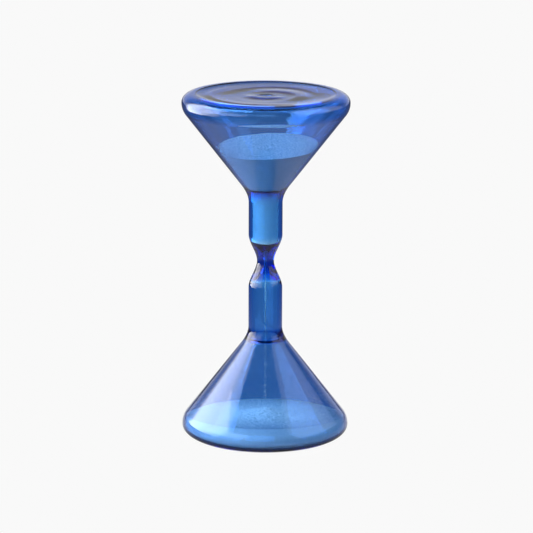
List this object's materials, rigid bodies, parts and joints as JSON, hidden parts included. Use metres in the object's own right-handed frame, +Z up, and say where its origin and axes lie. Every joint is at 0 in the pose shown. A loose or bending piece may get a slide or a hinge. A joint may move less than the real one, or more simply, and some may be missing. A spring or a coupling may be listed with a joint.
{
  "type": "hourglass",
  "caption": "Sealed all-glass sand timer with blown cone bulbs, a necked tube with an orifice, dished end discs and running sand.",
  "frame": {"origin": "centre of the lower foot ring, on the surface that the hourglass stands on", "axes": "+Z up along the hourglass's axis; the fuller side of the sloping upper sand is towards +X and +Y"},
  "size_m": [0.09, 0.09, 0.187],
  "materials": {
    "blue_glass": "gloss",
    "sand": "matte"
  },
  "bodies": {
    "glass": {"upper_bulb": "blue_glass", "upper_end_disc": "blue_glass", "fill_seal": "blue_glass", "neck_tube": "blue_glass", "lower_bulb": "blue_glass", "lower_end_disc": "blue_glass", "upper_sand_bed": "sand", "draining_sand": "sand", "neck_sand": "sand", "sand_stream": "sand", "lower_sand_bed": "sand"},
    "sinking_sand": {"sinking_sand": "sand"},
    "heap": {"sand_heap": "sand"}
  },
  "joints": [
    {"name": "crater_sink", "type": "slide", "parent": "glass", "child": "sinking_sand", "axis": [0, 0, -1], "range_m": [0, 0.005], "deforming": ["draining_sand"]},
    {"name": "heap_rise", "type": "slide", "parent": "glass", "child": "heap", "axis": [0, 0, 1], "range_m": [0, 0.00395], "deforming": ["sand_stream"]}
  ],
  "couplings": [
    {"joint": "heap_rise", "follows": "crater_sink", "ratio": 0.79012}
  ]
}
